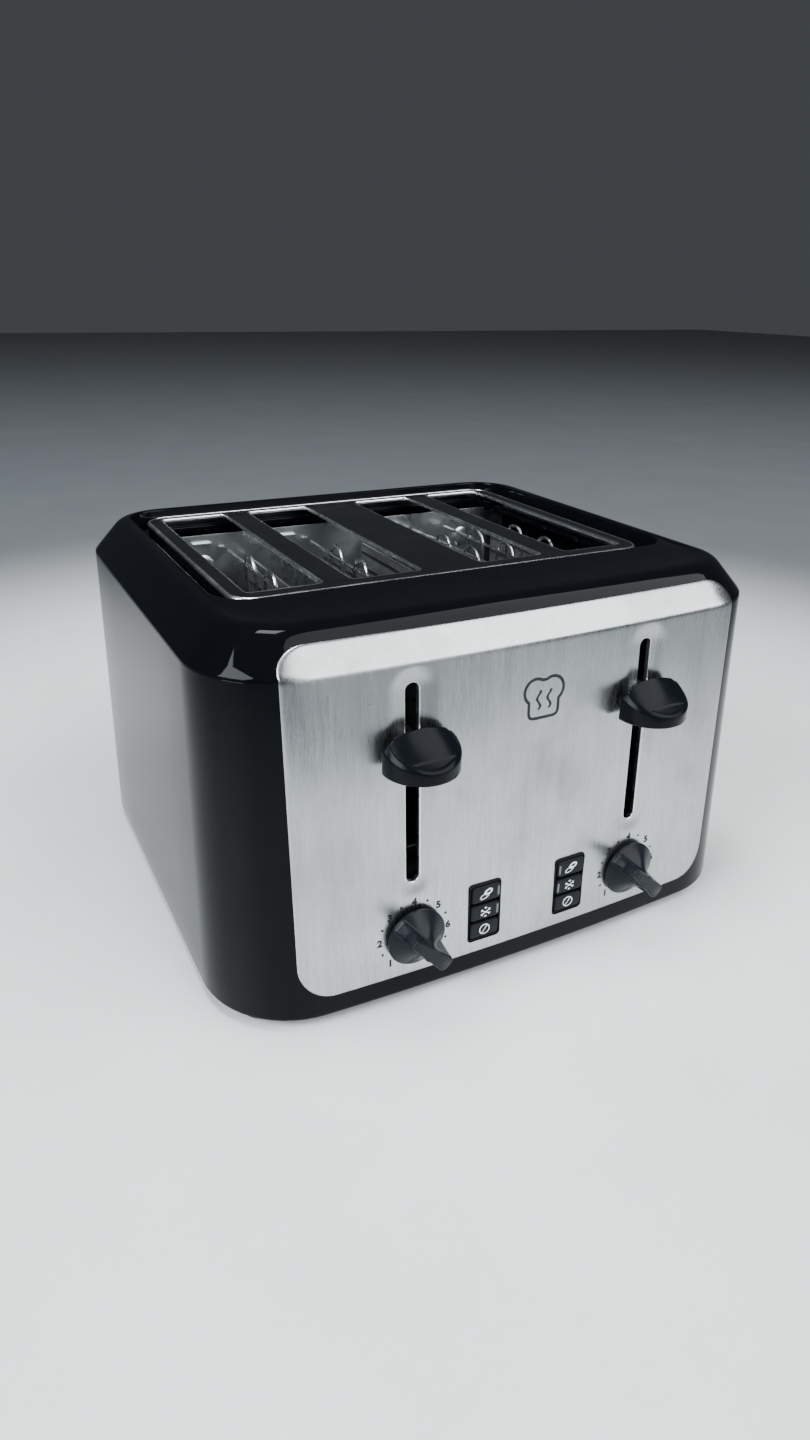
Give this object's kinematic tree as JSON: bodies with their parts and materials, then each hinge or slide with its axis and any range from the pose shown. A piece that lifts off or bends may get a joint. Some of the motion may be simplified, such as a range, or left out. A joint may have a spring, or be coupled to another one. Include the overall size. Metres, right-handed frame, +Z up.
{
  "type": "pop up toaster",
  "caption": "Pop-up toaster with side-by-side slots, steel front, two sliding levers, browning dials and push buttons, with a flat mains cord coiled behind it.",
  "frame": {"origin": "on the worktop, under the middle of the toaster from knobs to back wall", "axes": "+Z up, front with levers and dials towards -Y, +X to the right as seen from the front"},
  "size_m": [0.2832, 0.39, 0.1754],
  "materials": {
    "housing_gloss": "polished",
    "base_matte": "moulded",
    "panel_steel": "vertical brushed",
    "plate_steel": "fine brushed, dark",
    "chamber_sheet": "bright aluminised sheet",
    "mica": "mica sheet",
    "wire": "nickel plated",
    "control_satin": "satin",
    "button_matte": "fine matte",
    "magnet_copper": "enamelled winding",
    "board_green": "lacquered board",
    "foot_rubber": "matte",
    "cord_black": "satin vinyl"
  },
  "bodies": {
    "chassis": {"body_shell": "housing_gloss", "top_bezel": "housing_gloss", "base_plate": "base_matte", "front_panel": "panel_steel", "slot_plate": "plate_steel", "front_bulkhead": "chamber_sheet", "rear_bulkhead": "chamber_sheet", "heater_card_1": "mica", "heater_card_2": "mica", "heater_card_3": "mica", "heater_card_4": "mica", "heater_card_5": "mica", "heater_card_6": "mica", "guide_rod_left": "wire", "lift_spring_left": "wire", "latch_magnet_left": "magnet_copper", "timer_control_left": "base_matte", "button_frame_left": "base_matte", "guide_rod_right": "wire", "lift_spring_right": "wire", "latch_magnet_right": "magnet_copper", "timer_control_right": "base_matte", "button_frame_right": "base_matte", "control_board": "board_green", "foot_front_left": "foot_rubber", "foot_front_right": "foot_rubber", "foot_rear_left": "foot_rubber", "foot_rear_right": "foot_rubber", "strain_relief": "cord_black", "power_cord_lead": "cord_black", "cord_coil": "cord_black", "power_cord_tail": "cord_black", "plug": "cord_black"},
    "lift_left": {"lift_carriage_left": "chamber_sheet", "lever_knob_left": "control_satin", "bread_rack_1": "wire", "bread_rack_2": "wire"},
    "dial_left": {"browning_dial_left": "control_satin"},
    "bagel_key_left": {"bagel_button_left": "button_matte"},
    "frozen_key_left": {"frozen_button_left": "button_matte"},
    "cancel_key_left": {"cancel_button_left": "button_matte"},
    "tray_left": {"crumb_tray_left": "chamber_sheet"},
    "lift_right": {"lift_carriage_right": "chamber_sheet", "lever_knob_right": "control_satin", "bread_rack_3": "wire", "bread_rack_4": "wire"},
    "dial_right": {"browning_dial_right": "control_satin"},
    "bagel_key_right": {"bagel_button_right": "button_matte"},
    "frozen_key_right": {"frozen_button_right": "button_matte"},
    "cancel_key_right": {"cancel_button_right": "button_matte"},
    "tray_right": {"crumb_tray_right": "chamber_sheet"},
    "guide_1": {"bread_guide_1": "wire"},
    "guide_2": {"bread_guide_2": "wire"},
    "guide_3": {"bread_guide_3": "wire"},
    "guide_4": {"bread_guide_4": "wire"},
    "guide_5": {"bread_guide_5": "wire"},
    "guide_6": {"bread_guide_6": "wire"},
    "guide_7": {"bread_guide_7": "wire"},
    "guide_8": {"bread_guide_8": "wire"}
  },
  "joints": [
    {"name": "lever_left_slide", "type": "slide", "parent": "chassis", "child": "lift_left", "axis": [0, 0, 1], "range_m": [-0.06, 0.018], "stiffness_N_per_m": 260, "springref_m": 0.00282, "deforming": ["lift_spring_left"]},
    {"name": "lever_right_slide", "type": "slide", "parent": "chassis", "child": "lift_right", "axis": [0, 0, 1], "range_m": [-0.06, 0.018], "stiffness_N_per_m": 260, "springref_m": 0.00282, "deforming": ["lift_spring_right"]},
    {"name": "dial_left_turn", "type": "hinge", "parent": "chassis", "child": "dial_left", "pos_m": [-0.0584, -0.12793, 0.0353], "axis": [0, 1, 0], "range_deg": [-90, 180]},
    {"name": "dial_right_turn", "type": "hinge", "parent": "chassis", "child": "dial_right", "pos_m": [0.0584, -0.12793, 0.0353], "axis": [0, 1, 0], "range_deg": [-90, 180]},
    {"name": "bagel_left_press", "type": "slide", "parent": "chassis", "child": "bagel_key_left", "axis": [0, 1, 0], "range_m": [0, 0.0015], "stiffness_N_per_m": 1200},
    {"name": "frozen_left_press", "type": "slide", "parent": "chassis", "child": "frozen_key_left", "axis": [0, 1, 0], "range_m": [0, 0.0015], "stiffness_N_per_m": 1200},
    {"name": "cancel_left_press", "type": "slide", "parent": "chassis", "child": "cancel_key_left", "axis": [0, 1, 0], "range_m": [0, 0.0015], "stiffness_N_per_m": 1200},
    {"name": "bagel_right_press", "type": "slide", "parent": "chassis", "child": "bagel_key_right", "axis": [0, 1, 0], "range_m": [0, 0.0015], "stiffness_N_per_m": 1200},
    {"name": "frozen_right_press", "type": "slide", "parent": "chassis", "child": "frozen_key_right", "axis": [0, 1, 0], "range_m": [0, 0.0015], "stiffness_N_per_m": 1200},
    {"name": "cancel_right_press", "type": "slide", "parent": "chassis", "child": "cancel_key_right", "axis": [0, 1, 0], "range_m": [0, 0.0015], "stiffness_N_per_m": 1200},
    {"name": "tray_left_slide", "type": "slide", "parent": "chassis", "child": "tray_left", "axis": [0, 1, 0], "range_m": [0, 0.17]},
    {"name": "tray_right_slide", "type": "slide", "parent": "chassis", "child": "tray_right", "axis": [0, 1, 0], "range_m": [0, 0.17]},
    {"name": "guide_1_tilt", "type": "hinge", "parent": "chassis", "child": "guide_1", "pos_m": [-0.09585, 0, 0.042], "axis": [0, 1, 0], "range_deg": [-4.2, 4.2]},
    {"name": "guide_2_tilt", "type": "hinge", "parent": "chassis", "child": "guide_2", "pos_m": [-0.06865, 0, 0.042], "axis": [0, 1, 0], "range_deg": [-4.2, 4.2]},
    {"name": "guide_3_tilt", "type": "hinge", "parent": "chassis", "child": "guide_3", "pos_m": [-0.04685, 0, 0.042], "axis": [0, 1, 0], "range_deg": [-4.2, 4.2]},
    {"name": "guide_4_tilt", "type": "hinge", "parent": "chassis", "child": "guide_4", "pos_m": [-0.01965, 0, 0.042], "axis": [0, 1, 0], "range_deg": [-4.2, 4.2]},
    {"name": "guide_5_tilt", "type": "hinge", "parent": "chassis", "child": "guide_5", "pos_m": [0.01965, 0, 0.042], "axis": [0, 1, 0], "range_deg": [-4.2, 4.2]},
    {"name": "guide_6_tilt", "type": "hinge", "parent": "chassis", "child": "guide_6", "pos_m": [0.04685, 0, 0.042], "axis": [0, 1, 0], "range_deg": [-4.2, 4.2]},
    {"name": "guide_7_tilt", "type": "hinge", "parent": "chassis", "child": "guide_7", "pos_m": [0.06865, 0, 0.042], "axis": [0, 1, 0], "range_deg": [-4.2, 4.2]},
    {"name": "guide_8_tilt", "type": "hinge", "parent": "chassis", "child": "guide_8", "pos_m": [0.09585, 0, 0.042], "axis": [0, 1, 0], "range_deg": [-4.2, 4.2]}
  ],
  "couplings": [
    {"joint": "guide_1_tilt", "follows": "lever_left_slide", "rad_per_m": -1.15},
    {"joint": "guide_2_tilt", "follows": "lever_left_slide", "rad_per_m": 1.15},
    {"joint": "guide_3_tilt", "follows": "lever_left_slide", "rad_per_m": -1.15},
    {"joint": "guide_4_tilt", "follows": "lever_left_slide", "rad_per_m": 1.15},
    {"joint": "guide_5_tilt", "follows": "lever_right_slide", "rad_per_m": -1.15},
    {"joint": "guide_6_tilt", "follows": "lever_right_slide", "rad_per_m": 1.15},
    {"joint": "guide_7_tilt", "follows": "lever_right_slide", "rad_per_m": -1.15},
    {"joint": "guide_8_tilt", "follows": "lever_right_slide", "rad_per_m": 1.15}
  ]
}
